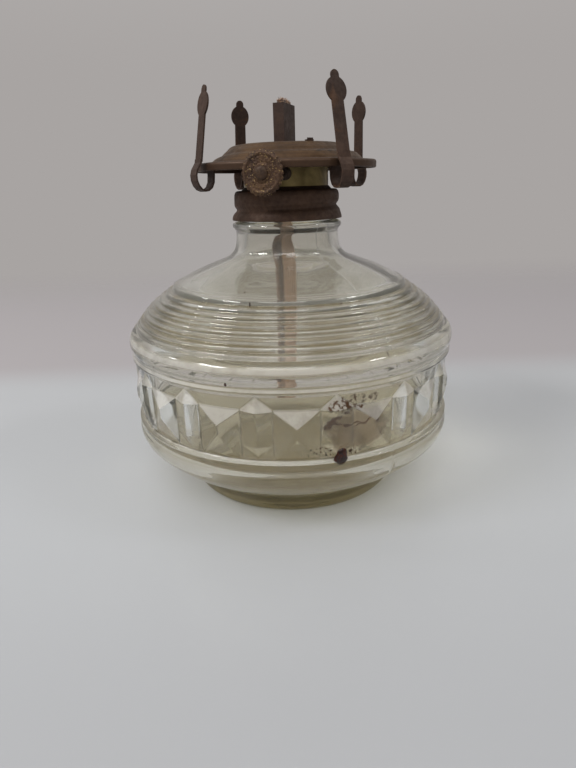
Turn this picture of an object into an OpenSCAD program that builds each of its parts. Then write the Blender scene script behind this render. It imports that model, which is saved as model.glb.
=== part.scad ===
// Flat-wick kerosene table lamp, millimetres, +Z up.
// Origin: centre of the foot's resting plane. The viewer's side is -Y, +X to the right.
// The burner sits on a screw neck; its wick raiser points towards the viewer and a little to the left.

/* [Glass font] */
// Radius of the straight band wall
font_r = 73.4; // [72.6:0.2:74.2]
// Radius of the foot ring where it meets the bowl
foot_r = 50.3; // [48:0.5:52]
// Number of ridge bars and pyramid panels round the band
bar_count = 15; // [12:1:15]
// Height of the ridge bars and pyramids above the recessed band floor
relief = 2.2; // [1.4:0.2:2.4]
// How far each shoulder rib stands above its grooves
rib_h = 1.1; // [0.6:0.1:1.5]

/* [Neck and cap] */
// Bore radius of the glass neck
neck_bore_r = 18.2; // [17:0.2:18.4]
// Outer radius of the glass finish inside the cap
finish_r = 20.8; // [20.2:0.1:20.9]
// Sheet thickness of the screw cap
cap_t = 0.5; // [0.4:0.05:0.6]

/* [Burner] */
// Turn of the wick raiser away from the viewer, to the left
raiser_az = 20.5; // [10:0.5:26]
// Outer width of the wick tube
tube_w = 13.6; // [13.2:0.1:14.4]
// Outer thickness of the wick tube
tube_t = 4.6; // [4.4:0.1:4.8]
// Height of the wick tube's mouth
tube_top = 164.6; // [158:0.2:170]
// Offset of the wick raiser from the wick's middle plane
raiser_off = 5.9; // [5.9:0.1:6.4]
// Radius of the thumbwheel
wheel_r = 8.3; // [7:0.1:9.6]
// Serrations round the thumbwheel
serrations = 26; // [18:2:36]

/* [Prongs] */
// Turn of the first prong from the viewer's direction, to the right
prong_az = 32.6; // [30:0.5:44]
// Radius of a prong's disc
disc_r = 4.5; // [3.6:0.1:4.8]
// Lean of the front right prong towards the axis
lean_fr = 12.0; // [0:0.5:13]
// Lean of the front left prong towards the axis
lean_fl = 10.0; // [0:0.5:13]
// Lean of the back right prong towards the axis
lean_br = 0.5; // [0:0.5:13]
// Lean of the back left prong towards the axis
lean_bl = 4.0; // [0:0.5:13]
// Blade length of the front right prong, loop to disc
blade_fr = 23.1; // [20:0.1:24]
// Blade length of the front left prong, loop to disc
blade_fl = 20.8; // [20:0.1:24]
// Blade length of the back right prong, loop to disc
blade_br = 20.6; // [20:0.1:24]
// Blade length of the back left prong, loop to disc
blade_bl = 21.5; // [20:0.1:24]

/* [Wick] */
// Width of the flat wick
wick_w = 12.2; // [11.6:0.1:12.3]
// Thickness of the flat wick
wick_t = 2.6; // [2.2:0.1:2.7]

/* [Hidden] */
$fn = 96;
floor_r = font_r - relief;            // recessed band floor
band_lo = 35.6;                       // foot of the recess
band_hi = 63.2;                       // top of the recess
pitch_deg = 360 / bar_count;
bar_first = -10.8;                    // turn of one bar from the viewer's direction
bar_half_deg = 0.197 * pitch_deg;
finish_top = 128.5;
washer_z0 = 128.6;
washer_z1 = 130.6;
cap_top = 131.3;
can_r = 18.3;
can_z1 = 147.6;
raiser_z = 137.5;
spindle_r = 1.25;
run_gap = 0.08;                       // radial running clearance of the spindle
knob_s0 = 39.5;                       // back of the thumbwheel, along the raiser
knob_s1 = 41.1;                       // front of the thumbwheel
bush_r = 2.6;

// Turn about Z measured from the viewer's direction (-Y), positive to the right.
module at_az(a) rotate([0, 0, a]) children();
// Local frame of the wick raiser: +Z runs from the axis out to the thumbwheel,
// +X runs sideways away from the wick tube's middle plane, +Y is up.
module on_raiser() at_az(-raiser_az) translate([raiser_off, 0, raiser_z]) rotate([90, 0, 0]) children();

// ---------- glass font ----------
// Groove bottoms on the shoulder, from the top down, as radius and height.
grooves = [[50.0, 93.3], [52.9, 90.8], [56.2, 88.5], [59.3, 86.4], [62.1, 84.2],
           [64.4, 82.0], [66.4, 79.7], [68.3, 77.4], [70.1, 75.1]];
function rib(a, b) = let (d = b - a, n = [-d[1], d[0]] / norm(d))
    [a, a + d * 0.12 - n * 0 + [n[0], n[1]] * (-rib_h * 0.45) * -1 * (n[0] > 0 ? 1 : -1),
     a + d * 0.5 + n * rib_h * (n[0] > 0 ? 1 : -1),
     a + d * 0.88 + n * rib_h * 0.45 * (n[0] > 0 ? 1 : -1)];
function rib_pts(i) = i < 8 ? concat(rib(grooves[i], grooves[i + 1]), rib_pts(i + 1)) : [grooves[8]];
shoulder_down = concat([[22.6, 114.6], [22.6, 111.6], [22.9, 109.2], [23.6, 107.0], [25.0, 105.0], [27.4, 103.4],
    [30.4, 102.2], [34.4, 100.8], [39.4, 98.9], [44.2, 96.8], [48.4, 94.6]], rib_pts(0));
bulge_down = [[71.6, 74.6], [73.0, 73.2], [73.8, 71.6], [73.9, 70.0], [73.6, 68.4], [72.9, 67.0], [72.6, 65.9],
    [73.0, 64.9], [font_r, 64.1], [font_r, band_hi]];
band_down = [[floor_r, band_hi - 0.8], [floor_r, band_lo + 0.8], [font_r, band_lo]];
bowl_down = [[font_r - 0.1, 33.6], [font_r - 0.5, 32.4], [font_r + 0.1, 31.2], [font_r + 0.2, 29.8], [73.2, 27.6],
    [72.2, 25.2], [69.7, 22.4], [66.2, 19.2], [62.2, 15.6], [58.0, 12.4], [54.0, 10.1], [51.6, 9.2]];
foot_down = [[foot_r + 0.1, 8.5], [foot_r, 7.5], [foot_r - 0.9, 1.4], [foot_r - 1.7, 0.3], [foot_r - 2.6, 0],
    [42.0, 0], [40.8, 1.4], [0, 1.4]];
finish_down = [[neck_bore_r, finish_top], [finish_r - 0.5, finish_top], [finish_r, finish_top - 0.5], [finish_r, 119.4],
    [21.4, 118.7], [23.2, 118.2], [24.0, 117.4], [24.0, 116.2], [23.3, 115.2]];
cavity_up = [[0, 7.6], [40, 8.0], [48, 10.8], [55, 14.2], [60.6, 18.4], [65.2, 23.0], [67.6, 27.4], [68.4, 32],
    [68.4, 66], [67.8, 70.6], [65.2, 74.6], [60.2, 80.0], [54.6, 84.4], [48.2, 88.8], [43.0, 91.6], [36.0, 94.8],
    [29.4, 97.4], [25.2, 99.4], [21.8, 102.2], [19.6, 105.6], [neck_bore_r + 0.3, 109.2], [neck_bore_r, 112]];

module glass_shell() rotate_extrude($fn = 180)
    polygon(concat(finish_down, shoulder_down, bulge_down, band_down, bowl_down, foot_down, cavity_up));

// Roof-shaped prism with its ridge on the band's front, leaning by a, inward faces falling by k.
module roof(z, a, k) translate([0, -(font_r + 0.1), z]) rotate([a, 0, 0]) translate([0, 0, -30]) linear_extrude(60)
    polygon([[0, 0], [20, 20 * k], [20, 14], [-20, 14], [-20, 20 * k]]);

// One ridge bar: an upright roof with two pointed, falling ends.
module ridge_bar() {
    hw = floor_r * sin(bar_half_deg);
    k = (relief + 0.1) / hw;
    end = 5.6;
    tilt = atan((relief + 0.1) / end);
    intersection() {
        translate([-hw, -(font_r + 1), band_lo - 0.6]) cube([2 * hw, relief + 2.4, band_hi - band_lo + 0.4]);
        roof(50, 0, k);
        roof(band_hi - 1.5 - end, -tilt, k * cos(tilt));
        roof(band_lo + 1.5 + end, tilt, k * cos(tilt));
    }
}

// One pyramid panel: two crossed prisms leave a short upright ridge and four facets, the top one steeper.
module pyramid_panel() {
    hw = floor_r * sin(pitch_deg / 2 - bar_half_deg) - 0.25;
    z0 = 36.9;
    z1 = 56.3;
    ridge_lo = 46.5;
    ridge_hi = 50.1;
    ext = relief + 0.1;
    fall_hi = (ext - 0.02) / (z1 - ridge_hi);
    fall_lo = (ext - 0.02) / (ridge_lo - z0);
    zm = (fall_hi * z1 + fall_lo * z0) / (fall_hi + fall_lo);
    peak = 0.02 + fall_hi * (z1 - zm);
    sink = 1.4;
    intersection() {
        translate([0, 0, z0 - 3]) linear_extrude(z1 - z0 + 6)
            polygon([[-hw, -(floor_r - sink)], [-hw, -(floor_r + 0.02)], [0, -(floor_r + ext)], [hw, -(floor_r + 0.02)],
                     [hw, -(floor_r - sink)]]);
        rotate([90, 0, 90]) translate([0, 0, -hw - 2]) linear_extrude(2 * hw + 4)
            polygon([[-(floor_r - sink), z0], [-(floor_r + 0.02), z0], [-(floor_r + peak), zm], [-(floor_r + 0.02), z1],
                     [-(floor_r - sink), z1]]);
    }
}

module glass_font() color([0.80, 0.83, 0.76, 0.5]) union() {
    glass_shell();
    for (i = [0 : bar_count - 1]) {
        at_az(bar_first + i * pitch_deg) ridge_bar();
        at_az(bar_first + (i + 0.5) * pitch_deg) pyramid_panel();
    }
}

// ---------- neck washer and screw cap ----------
module neck_washer() color([0.45, 0.33, 0.22])
    rotate_extrude() polygon([[18.5, washer_z0], [finish_r, washer_z0], [finish_r, washer_z1], [18.5, washer_z1]]);

// Rolled sheet: one thread groove, flared skirt, flat top with the can's hole.
module screw_cap() color([0.30, 0.24, 0.20]) rotate_extrude($fn = 120) polygon([
    [can_r + 0.08, cap_top], [21.3, cap_top], [22.1, 131.0], [22.6, 130.3], [22.8, 129.3], [22.9, 127.8], [22.7, 126.4],
    [22.2, 125.2], [21.85, 124.1], [22.1, 122.9], [22.9, 121.8], [23.7, 120.9], [24.1, 120.0], [24.15, 119.3],
    [24.15 - cap_t, 119.3], [23.55, 120.1], [23.25, 120.6], [22.5, 121.4], [21.7, 122.6], [21.85 - cap_t, 124.1],
    [21.75, 125.5], [22.2, 126.6], [22.9 - cap_t, 127.8], [22.8 - cap_t, 129.2], [21.8, 130.3], [21.2, cap_top - cap_t],
    [can_r + 0.08, cap_top - cap_t]]);

// Bead that closes the corner between can and cap.
module cap_solder_ring() color([0.42, 0.38, 0.30])
    rotate_extrude($fn = 120) polygon([[can_r + 0.04, cap_top + 0.04], [19.6, cap_top + 0.04], [19.2, 131.8], [18.7, 132.3], [can_r + 0.04, 132.6]]);

// ---------- burner can ----------
air_n = 24;
module burner_can() color([0.42, 0.42, 0.28]) difference() {
    rotate_extrude($fn = 120) polygon([[can_r - 0.5, 129.7], [can_r, 129.7], [can_r, can_z1], [can_r - 0.5, can_z1]]);
    // holes for the two bushings
    on_raiser() translate([0, 0, -60]) cylinder(r = bush_r + 0.04, h = 120, $fn = 48);
    // ring of air holes under the gallery's dome
    for (i = [0 : air_n - 1]) at_az(7.5 + i * 360 / air_n) translate([0, -15, 143.6]) rotate([90, 0, 0]) cylinder(r = 1.1, h = 6, $fn = 24);
}

module tube_slot(z0, z1, gap) at_az(-raiser_az) translate([-tube_t / 2 - gap, -tube_w / 2 - gap, z0]) cube([tube_t + 2 * gap, tube_w + 2 * gap, z1 - z0]);

module can_floor() color([0.42, 0.40, 0.28]) difference() {
    translate([0, 0, 130.2]) cylinder(r = can_r - 0.56, h = 0.7);
    tube_slot(129, 132, 0.06);
    at_az(-raiser_az) translate([-11.5, 0, 129]) cylinder(r = 1.3, h = 3, $fn = 32);
}

// ---------- gallery ----------
rivet_at = 33.8;                      // radius on which the prongs' rivets lie, flush with the seat
module gallery_plate() color([0.42, 0.37, 0.30]) difference() {
    rotate_extrude($fn = 150) polygon([
        [38.6, 139.2], [38.6, 141.6], [38.2, 142.1], [37.7, 142.3], [33.4, 142.3], [33.0, 142.5], [32.5, 143.1], [31.8, 143.9], [31.0, 144.6],
        [30.4, 145.1], [29.6, 145.5], [28.3, 145.7], [27.5, 146.1], [26.8, 146.8], [26.0, 147.4], [25.0, 148.0], [24.2, 148.6], [23.4, 149.0],
        [22.4, 149.1], [21.2, 148.9], [15.4, 148.9], [15.4, 148.3], [21.4, 148.3], [22.3, 148.47], [23.1, 148.38], [23.8, 148.05],
        [24.6, 147.45], [25.6, 146.85], [26.3, 146.35], [27.1, 145.6], [28.0, 145.1], [29.4, 144.9], [30.0, 144.6], [30.5, 144.15],
        [31.3, 143.45], [32.0, 142.7], [32.6, 141.95], [33.1, 141.7], [37.5, 141.7], [38.0, 141.4], [38.0, 139.2]]);
    for (k = [0 : 3]) at_az(prong_az + 90 * k) translate([0, -rivet_at, 140]) cylinder(r = 0.78, h = 4, $fn = 32);
}

module air_plate() color([0.40, 0.36, 0.29]) difference() {
    translate([0, 0, 147.7]) cylinder(r = 17.4, h = 0.5);
    tube_slot(147, 149, 0.08);
    for (i = [0 : 23]) at_az(i * 15) translate([0, -13.9, 147]) cylinder(r = 0.8, h = 2, $fn = 20);
    for (i = [0 : 19]) at_az(9 + i * 18) translate([0, -11.0, 147]) cylinder(r = 0.8, h = 2, $fn = 20);
}

// Stub of a folded catch on the plate's top edge.
module deflector_catch() color([0.22, 0.18, 0.15]) at_az(26) translate([-1.5, -22.7, 149.14]) union() {
    cube([3.0, 1.9, 0.5]);
    translate([0.3, 0, 0]) cube([2.4, 0.6, 1.1]);
}

// ---------- wick tube ----------
module wick_tube() color([0.24, 0.21, 0.19]) difference() {
    tube_slot(121, tube_top, 0);
    at_az(-raiser_az) translate([-tube_t / 2 + 0.4, -tube_w / 2 + 0.4, 120]) cube([tube_t - 0.8, tube_w - 0.8, 60]);
    // windows for the two spur wheels
    at_az(-raiser_az) translate([tube_t / 2 - 0.9, 0, raiser_z - 2.7]) for (s = [-1, 1]) translate([0, s * 3.4 - 0.95, 0]) cube([2, 1.9, 5.4]);
}

// ---------- wick raiser ----------
module bushing(s0, s1) on_raiser() translate([0, 0, s0]) difference() {
    cylinder(r = bush_r, h = s1 - s0, $fn = 48);
    translate([0, 0, -1]) cylinder(r = spindle_r + run_gap, h = s1 - s0 + 2, $fn = 48);
}
module near_bushing() color([0.25, 0.22, 0.19]) bushing(15.9, 20.6);
module far_bushing() color([0.25, 0.22, 0.19]) bushing(-20.0, -15.9);

module wick_spindle() color([0.36, 0.31, 0.26]) on_raiser() union() {
    translate([0, 0, -20.6]) cylinder(r = spindle_r, h = knob_s1 + 20.6, $fn = 48);
    translate([0, 0, -21.1]) cylinder(r = 1.9, h = 0.9, $fn = 48);
}

spur_tip = raiser_off - wick_t / 2 - 0.3;
spur_n = 10;
module spur_wheel(s) on_raiser() translate([0, 0, s - 0.6]) linear_extrude(1.2) difference() {
    polygon([for (i = [0 : spur_n - 1]) each [
        [spur_tip * cos(i * 36), spur_tip * sin(i * 36)],
        [(spur_tip - 1.15) * cos(i * 36 + 15), (spur_tip - 1.15) * sin(i * 36 + 15)],
        [(spur_tip - 1.15) * cos(i * 36 + 24), (spur_tip - 1.15) * sin(i * 36 + 24)]]]);
    circle(r = spindle_r + 0.03, $fn = 48);
}
module spur_wheel_near() color([0.55, 0.47, 0.26]) spur_wheel(3.4);
module spur_wheel_far() color([0.55, 0.47, 0.26]) spur_wheel(-3.4);

// Stamped disc: serrated edge, raised rim ring, raised hub.
module thumbwheel() color([0.40, 0.33, 0.24]) on_raiser() difference() {
    union() {
        translate([0, 0, knob_s0 + 0.3]) linear_extrude(0.8) polygon([for (i = [0 : serrations - 1]) each [
            [wheel_r * cos((i - 0.22) * 360 / serrations), wheel_r * sin((i - 0.22) * 360 / serrations)],
            [wheel_r * cos((i + 0.22) * 360 / serrations), wheel_r * sin((i + 0.22) * 360 / serrations)],
            [(wheel_r - 0.6) * cos((i + 0.5) * 360 / serrations), (wheel_r - 0.6) * sin((i + 0.5) * 360 / serrations)]]]);
        translate([0, 0, knob_s0]) rotate_extrude($fn = 72) polygon([[0, 0], [2.6, 0], [2.6, 0.4], [wheel_r - 2.2, 0.4], [wheel_r - 1.6, 0.2],
            [wheel_r - 0.9, 0.4], [wheel_r - 0.9, 1.2], [wheel_r - 1.5, 1.6], [wheel_r - 2.3, 1.2], [3.6, 1.2], [3.1, 1.6], [0, 1.6]]);
    }
    translate([0, 0, knob_s0 - 1]) cylinder(r = spindle_r + 0.03, h = 5, $fn = 48);
}

module thumbwheel_rivet() color([0.45, 0.38, 0.30]) on_raiser() translate([0, 0, knob_s1 + 0.04])
    rotate_extrude($fn = 48) polygon([[0, 0], [2.0, 0], [1.9, 0.4], [1.5, 0.8], [0.9, 1.0], [0, 1.05]]);

// ---------- prongs ----------
// Side view of the loop under the rim, centre line as radius and height.
loop_c = [[32.55, 141.13], [34.9, 141.1], [35.5, 140.5], [35.4, 137.6], [35.7, 135.0], [36.6, 133.1], [38.0, 132.1], [39.4, 131.9],
          [40.9, 132.5], [42.1, 133.9], [42.8, 135.8], [42.9, 137.8], [42.3, 139.7], [41.3, 141.2], [40.6, 142.2], [40.35, 143.6]];
strip_t = 0.7;
function pn(p, i) = let (a = p[max(i - 1, 0)], b = p[min(i + 1, len(p) - 1)], d = b - a) [-d[1], d[0]] / norm(d);
function side(p, s) = [for (i = [0 : len(p) - 1]) p[i] + pn(p, i) * s * strip_t / 2];
function rev(p) = [for (i = [len(p) - 1 : -1 : 0]) p[i]];

module prong(az, lean, len) at_az(az) difference() {
    union() {
        // loop, extruded across the strip's width
        rotate([90, 0, -90]) translate([0, 0, -2.8]) linear_extrude(5.6) polygon(concat(side(loop_c, 1), rev(side(loop_c, -1))));
        // blade with disc and nub, flat to the axis
        translate([0, -40.33, 142.6]) rotate([lean * -1, 0, 0]) translate([0, strip_t / 2 + 0.03, 0]) rotate([90, 0, 0]) linear_extrude(strip_t) {
            polygon([[-2.8, 0], [2.8, 0], [2.75, 6], [2.6, len - 2], [-2.6, len - 2], [-2.75, 6]]);
            translate([0, len]) circle(r = disc_r, $fn = 64);
            translate([-1.75, len + 2.2]) square([3.5, 2.8]);
            translate([0, len + 5.0]) circle(r = 1.75, $fn = 48);
        }
    }
    translate([0, -rivet_at, 139]) cylinder(r = 0.78, h = 4, $fn = 32);
}
module prong_front_right() color([0.24, 0.19, 0.16]) prong(prong_az, lean_fr, blade_fr);
module prong_front_left() color([0.24, 0.19, 0.16]) prong(prong_az - 90, lean_fl, blade_fl);
module prong_back_right() color([0.24, 0.19, 0.16]) prong(prong_az + 90, lean_br, blade_br);
module prong_back_left() color([0.24, 0.19, 0.16]) prong(prong_az + 180, lean_bl, blade_bl);

module prong_rivets() color([0.30, 0.25, 0.20]) for (k = [0 : 3]) at_az(prong_az + 90 * k) translate([0, -rivet_at, 0])
    rotate_extrude($fn = 32) polygon([[0, 140.1], [0.7, 140.1], [1.0, 140.35], [1.0, 140.64], [0.7, 140.64], [0.7, 142.27], [0, 142.27]]);

// ---------- wick ----------
wick_twist = 16;
module wick() color([0.52, 0.42, 0.34]) union() {
    at_az(-raiser_az) translate([-wick_t / 2, -wick_w / 2, 110]) cube([wick_t, wick_w, tube_top + 1.6 - 110]);
    at_az(-raiser_az - wick_twist) translate([-wick_t / 2, -wick_w / 2, 51]) cube([wick_t, wick_w, 60]);
}

glass_font();
neck_washer();
screw_cap();
cap_solder_ring();
burner_can();
can_floor();
gallery_plate();
air_plate();
deflector_catch();
wick_tube();
near_bushing();
far_bushing();
prong_front_right();
prong_front_left();
prong_back_right();
prong_back_left();
prong_rivets();
wick_spindle();
spur_wheel_near();
spur_wheel_far();
thumbwheel();
thumbwheel_rivet();
wick();
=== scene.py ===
import math

import bpy
import numpy as np
from mathutils import Matrix, Vector


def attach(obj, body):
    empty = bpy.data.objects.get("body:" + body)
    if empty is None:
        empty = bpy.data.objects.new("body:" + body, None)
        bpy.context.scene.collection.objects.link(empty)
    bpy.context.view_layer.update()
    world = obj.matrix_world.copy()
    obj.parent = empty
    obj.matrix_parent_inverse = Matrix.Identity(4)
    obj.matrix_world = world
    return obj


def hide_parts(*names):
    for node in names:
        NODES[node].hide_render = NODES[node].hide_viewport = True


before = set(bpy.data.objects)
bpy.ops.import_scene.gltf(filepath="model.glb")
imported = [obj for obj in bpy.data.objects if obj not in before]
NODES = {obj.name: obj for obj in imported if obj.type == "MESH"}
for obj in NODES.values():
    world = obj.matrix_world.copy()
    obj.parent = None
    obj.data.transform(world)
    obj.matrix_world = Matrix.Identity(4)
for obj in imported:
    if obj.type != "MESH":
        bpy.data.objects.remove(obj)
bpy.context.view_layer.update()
MM = 0.001
RNG = np.random.default_rng(11)

# ------------------------------------------------------------------ camera
F_PX = 538.386
PITCH, YAW, ROLL = 0.35432, -0.00731, -0.03049
cam_data = bpy.data.cameras.new("camera")
cam = bpy.data.objects.new("camera", cam_data)
bpy.context.scene.collection.objects.link(cam)
R0 = Vector((math.cos(YAW), -math.sin(YAW), 0))
F0 = Vector((math.sin(YAW) * math.cos(PITCH), math.cos(YAW) * math.cos(PITCH), -math.sin(PITCH)))
U0 = Vector((math.sin(YAW) * math.sin(PITCH), math.cos(YAW) * math.sin(PITCH), math.cos(PITCH)))
RR = math.cos(ROLL) * R0 + math.sin(ROLL) * U0
UU = math.cos(ROLL) * U0 - math.sin(ROLL) * R0
cam_pos = Vector((0.0, -0.250, 0.133243))
cam.matrix_world = Matrix((
    (RR.x, UU.x, -F0.x, cam_pos.x),
    (RR.y, UU.y, -F0.y, cam_pos.y),
    (RR.z, UU.z, -F0.z, cam_pos.z),
    (0, 0, 0, 1)))
cam_data.sensor_width = 36.0
cam_data.lens = F_PX / 768.0 * 36.0
cam_data.clip_start = 0.01
cam_data.clip_end = 50.0
bpy.context.scene.camera = cam
bpy.context.scene.view_settings.view_transform = "Standard"
bpy.context.scene.cycles.transmission_bounces = 14
bpy.context.scene.cycles.max_bounces = 16
bpy.context.scene.cycles.transparent_max_bounces = 16
bpy.context.scene.cycles.sample_clamp_indirect = 4.0


# ------------------------------------------------------------------ mesh helpers
def lin(r, g, b):
    out = []
    for c in (r, g, b):
        c = c / 255.0
        out.append(c / 12.92 if c <= 0.04045 else ((c + 0.055) / 1.055) ** 2.4)
    return (*out, 1.0)


def make(name, verts, faces, mat, body, replaces=(), smooth=True, face_mats=None):
    me = bpy.data.meshes.new(name)
    me.from_pydata([tuple(float(x) for x in v) for v in verts], [], [tuple(int(i) for i in f) for f in faces])
    mats = mat if isinstance(mat, (list, tuple)) else [mat]
    for m in mats:
        me.materials.append(m)
    if face_mats is not None:
        me.polygons.foreach_set("material_index", np.asarray(face_mats, dtype=np.int32))
    me.polygons.foreach_set("use_smooth", np.full(len(me.polygons), bool(smooth)))
    me.update()
    o = bpy.data.objects.new(name, me)
    bpy.context.scene.collection.objects.link(o)
    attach(o, body)
    if replaces:
        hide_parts(*replaces)
    return o


def spline(points, step):
    """Points of a centripetal Catmull-Rom curve through points, about step apart."""
    p = np.asarray(points, float)
    out = [p[0]]
    for i in range(len(p) - 1):
        a, b = p[i], p[i + 1]
        z = 2 * a - b if i == 0 else p[i - 1]
        c = 2 * b - a if i == len(p) - 2 else p[i + 2]
        n = max(1, int(round(np.linalg.norm(b - a) / step)))
        t0 = 0.0
        t1 = t0 + max(np.linalg.norm(a - z), 1e-6) ** 0.5
        t2 = t1 + max(np.linalg.norm(b - a), 1e-6) ** 0.5
        t3 = t2 + max(np.linalg.norm(c - b), 1e-6) ** 0.5
        for k in range(1, n + 1):
            t = t1 + (t2 - t1) * k / n
            a1 = (t1 - t) / (t1 - t0) * z + (t - t0) / (t1 - t0) * a
            a2 = (t2 - t) / (t2 - t1) * a + (t - t1) / (t2 - t1) * b
            a3 = (t3 - t) / (t3 - t2) * b + (t - t2) / (t3 - t2) * c
            b1 = (t2 - t) / (t2 - t0) * a1 + (t - t0) / (t2 - t0) * a2
            b2 = (t3 - t) / (t3 - t1) * a2 + (t - t1) / (t3 - t1) * a3
            out.append((t2 - t) / (t2 - t1) * b1 + (t - t1) / (t2 - t1) * b2)
    return np.array(out)


def polyline(points, step):
    p = np.asarray(points, float)
    out = [p[0]]
    for a, b in zip(p[:-1], p[1:]):
        n = max(1, int(round(np.linalg.norm(b - a) / step)))
        out += [a + (b - a) * k / n for k in range(1, n + 1)]
    return np.array(out)


class Lathe:
    """Rings of vertices about +Z. Azimuth is measured from -Y, positive to +X, in degrees."""

    def __init__(self):
        self.v, self.f, self.m, self.rings, self.az = [], [], [], [], []

    def ring(self, az, r, z):
        """az, r, z arrays (or numbers) of one ring's vertices, in mm."""
        az = np.asarray(az, float)
        r = np.broadcast_to(r, az.shape)
        z = np.broadcast_to(z, az.shape)
        a = np.radians(az)
        start = len(self.v)
        self.v += list(zip(r * np.sin(a) * MM, -r * np.cos(a) * MM, z * MM))
        self.rings.append((start, len(az)))
        self.az.append(az)
        return len(self.rings) - 1

    def pole(self, z):
        self.v.append((0.0, 0.0, z * MM))
        self.rings.append((len(self.v) - 1, 1))
        self.az.append(np.zeros(1))
        return len(self.rings) - 1

    def join(self, i, j, mat=0):
        """Faces between ring i and ring j, with outward normals when the profile runs as material on its left."""
        (a, n), (b, m) = self.rings[i], self.rings[j]
        if n == 1:
            new = [(a, b + (k + 1) % m, b + k) for k in range(m)]
        elif m == 1:
            new = [(a + k, a + (k + 1) % n, b) for k in range(n)]
        elif n == m:
            new = [(a + k, a + (k + 1) % n, b + (k + 1) % m, b + k) for k in range(n)]
        else:
            # rings of unlike column counts: zip them together in order of azimuth
            new, p, q = [], 0, 0
            za, zb = self.az[i], self.az[j]
            nxt = lambda z, k: z[k + 1] if k + 1 < len(z) else z[0] + 360.0
            while p < n or q < m:
                step_a = p < n and (q >= m or nxt(za, p) <= nxt(zb, q))
                if step_a:
                    new.append((a + p % n, a + (p + 1) % n, b + q % m))
                    p += 1
                else:
                    new.append((a + p % n, b + (q + 1) % m, b + q % m))
                    q += 1
        self.f += new
        self.m += [mat] * len(new)


# ------------------------------------------------------------------ material helpers
class Tree:
    def __init__(self, name):
        self.mat = bpy.data.materials.new(name)
        self.mat.use_nodes = True
        self.nt = self.mat.node_tree
        self.nt.nodes.clear()
        self.out = self.nt.nodes.new("ShaderNodeOutputMaterial")
        self.bsdf = self.nt.nodes.new("ShaderNodeBsdfPrincipled")
        self.nt.links.new(self.bsdf.outputs[0], self.out.inputs["Surface"])
        tc = self.nt.nodes.new("ShaderNodeTexCoord")
        self.co = tc.outputs["Object"]

    def n(self, kind, **props):
        node = self.nt.nodes.new(kind)
        for k, v in props.items():
            setattr(node, k, v)
        return node

    def link(self, a, b):
        self.nt.links.new(a, b)

    def scaled(self, sx, sy, sz, co=None, loc=(0, 0, 0)):
        m = self.n("ShaderNodeMapping")
        m.inputs["Scale"].default_value = (sx, sy, sz)
        m.inputs["Location"].default_value = loc
        self.link(co or self.co, m.inputs["Vector"])
        return m.outputs[0]

    def noise(self, scale, detail=4.0, rough=0.55, co=None, dist=0.0):
        t = self.n("ShaderNodeTexNoise")
        t.inputs["Scale"].default_value = scale
        t.inputs["Detail"].default_value = detail
        t.inputs["Roughness"].default_value = rough
        t.inputs["Distortion"].default_value = dist
        self.link(co or self.co, t.inputs["Vector"])
        return t.outputs["Fac"]

    def voronoi(self, scale, co=None, feature="F1", rnd=1.0):
        t = self.n("ShaderNodeTexVoronoi", feature=feature)
        t.inputs["Scale"].default_value = scale
        t.inputs["Randomness"].default_value = rnd
        self.link(co or self.co, t.inputs["Vector"])
        return t.outputs["Distance"]

    def ramp(self, fac, stops, interp="LINEAR"):
        r = self.n("ShaderNodeValToRGB")
        r.color_ramp.interpolation = interp
        el = r.color_ramp.elements
        el[0].position, el[0].color = stops[0][0], stops[0][1]
        el[1].position, el[1].color = stops[-1][0], stops[-1][1]
        for pos, col in stops[1:-1]:
            e = el.new(pos)
            e.color = col
        self.link(fac, r.inputs[0])
        return r.outputs[0]

    def remap(self, fac, a, b, c, d, smooth=False):
        m = self.n("ShaderNodeMapRange")
        m.interpolation_type = "SMOOTHSTEP" if smooth else "LINEAR"
        for i, v in zip(("From Min", "From Max", "To Min", "To Max"), (a, b, c, d)):
            m.inputs[i].default_value = v
        self.link(fac, m.inputs["Value"])
        return m.outputs["Result"]

    def math(self, op, a, b=None, clamp=False):
        m = self.n("ShaderNodeMath", operation=op, use_clamp=clamp)
        for i, v in enumerate((a, b)):
            if v is None:
                continue
            if isinstance(v, (int, float)):
                m.inputs[i].default_value = v
            else:
                self.link(v, m.inputs[i])
        return m.outputs[0]

    def mix(self, fac, a, b, blend="MIX"):
        m = self.n("ShaderNodeMix", data_type="RGBA", blend_type=blend)
        if isinstance(fac, (int, float)):
            m.inputs[0].default_value = fac
        else:
            self.link(fac, m.inputs[0])
        for i, v in ((6, a), (7, b)):
            if isinstance(v, tuple):
                m.inputs[i].default_value = v
            else:
                self.link(v, m.inputs[i])
        return m.outputs[2]

    def xyz(self, co=None):
        s = self.n("ShaderNodeSeparateXYZ")
        self.link(co or self.co, s.inputs[0])
        return s.outputs

    def bump(self, height, strength, distance, under=None):
        b = self.n("ShaderNodeBump")
        b.inputs["Strength"].default_value = strength
        b.inputs["Distance"].default_value = distance
        self.link(height, b.inputs["Height"])
        if under is not None:
            self.link(under, b.inputs["Normal"])
        return b.outputs[0]

    def set(self, **values):
        for k, v in values.items():
            s = self.bsdf.inputs[k.replace("_", " ")]
            if isinstance(v, (int, float, tuple)):
                s.default_value = v
            else:
                self.link(v, s)
        return self


def grey(v):
    return (v, v, v, 1.0)


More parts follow.
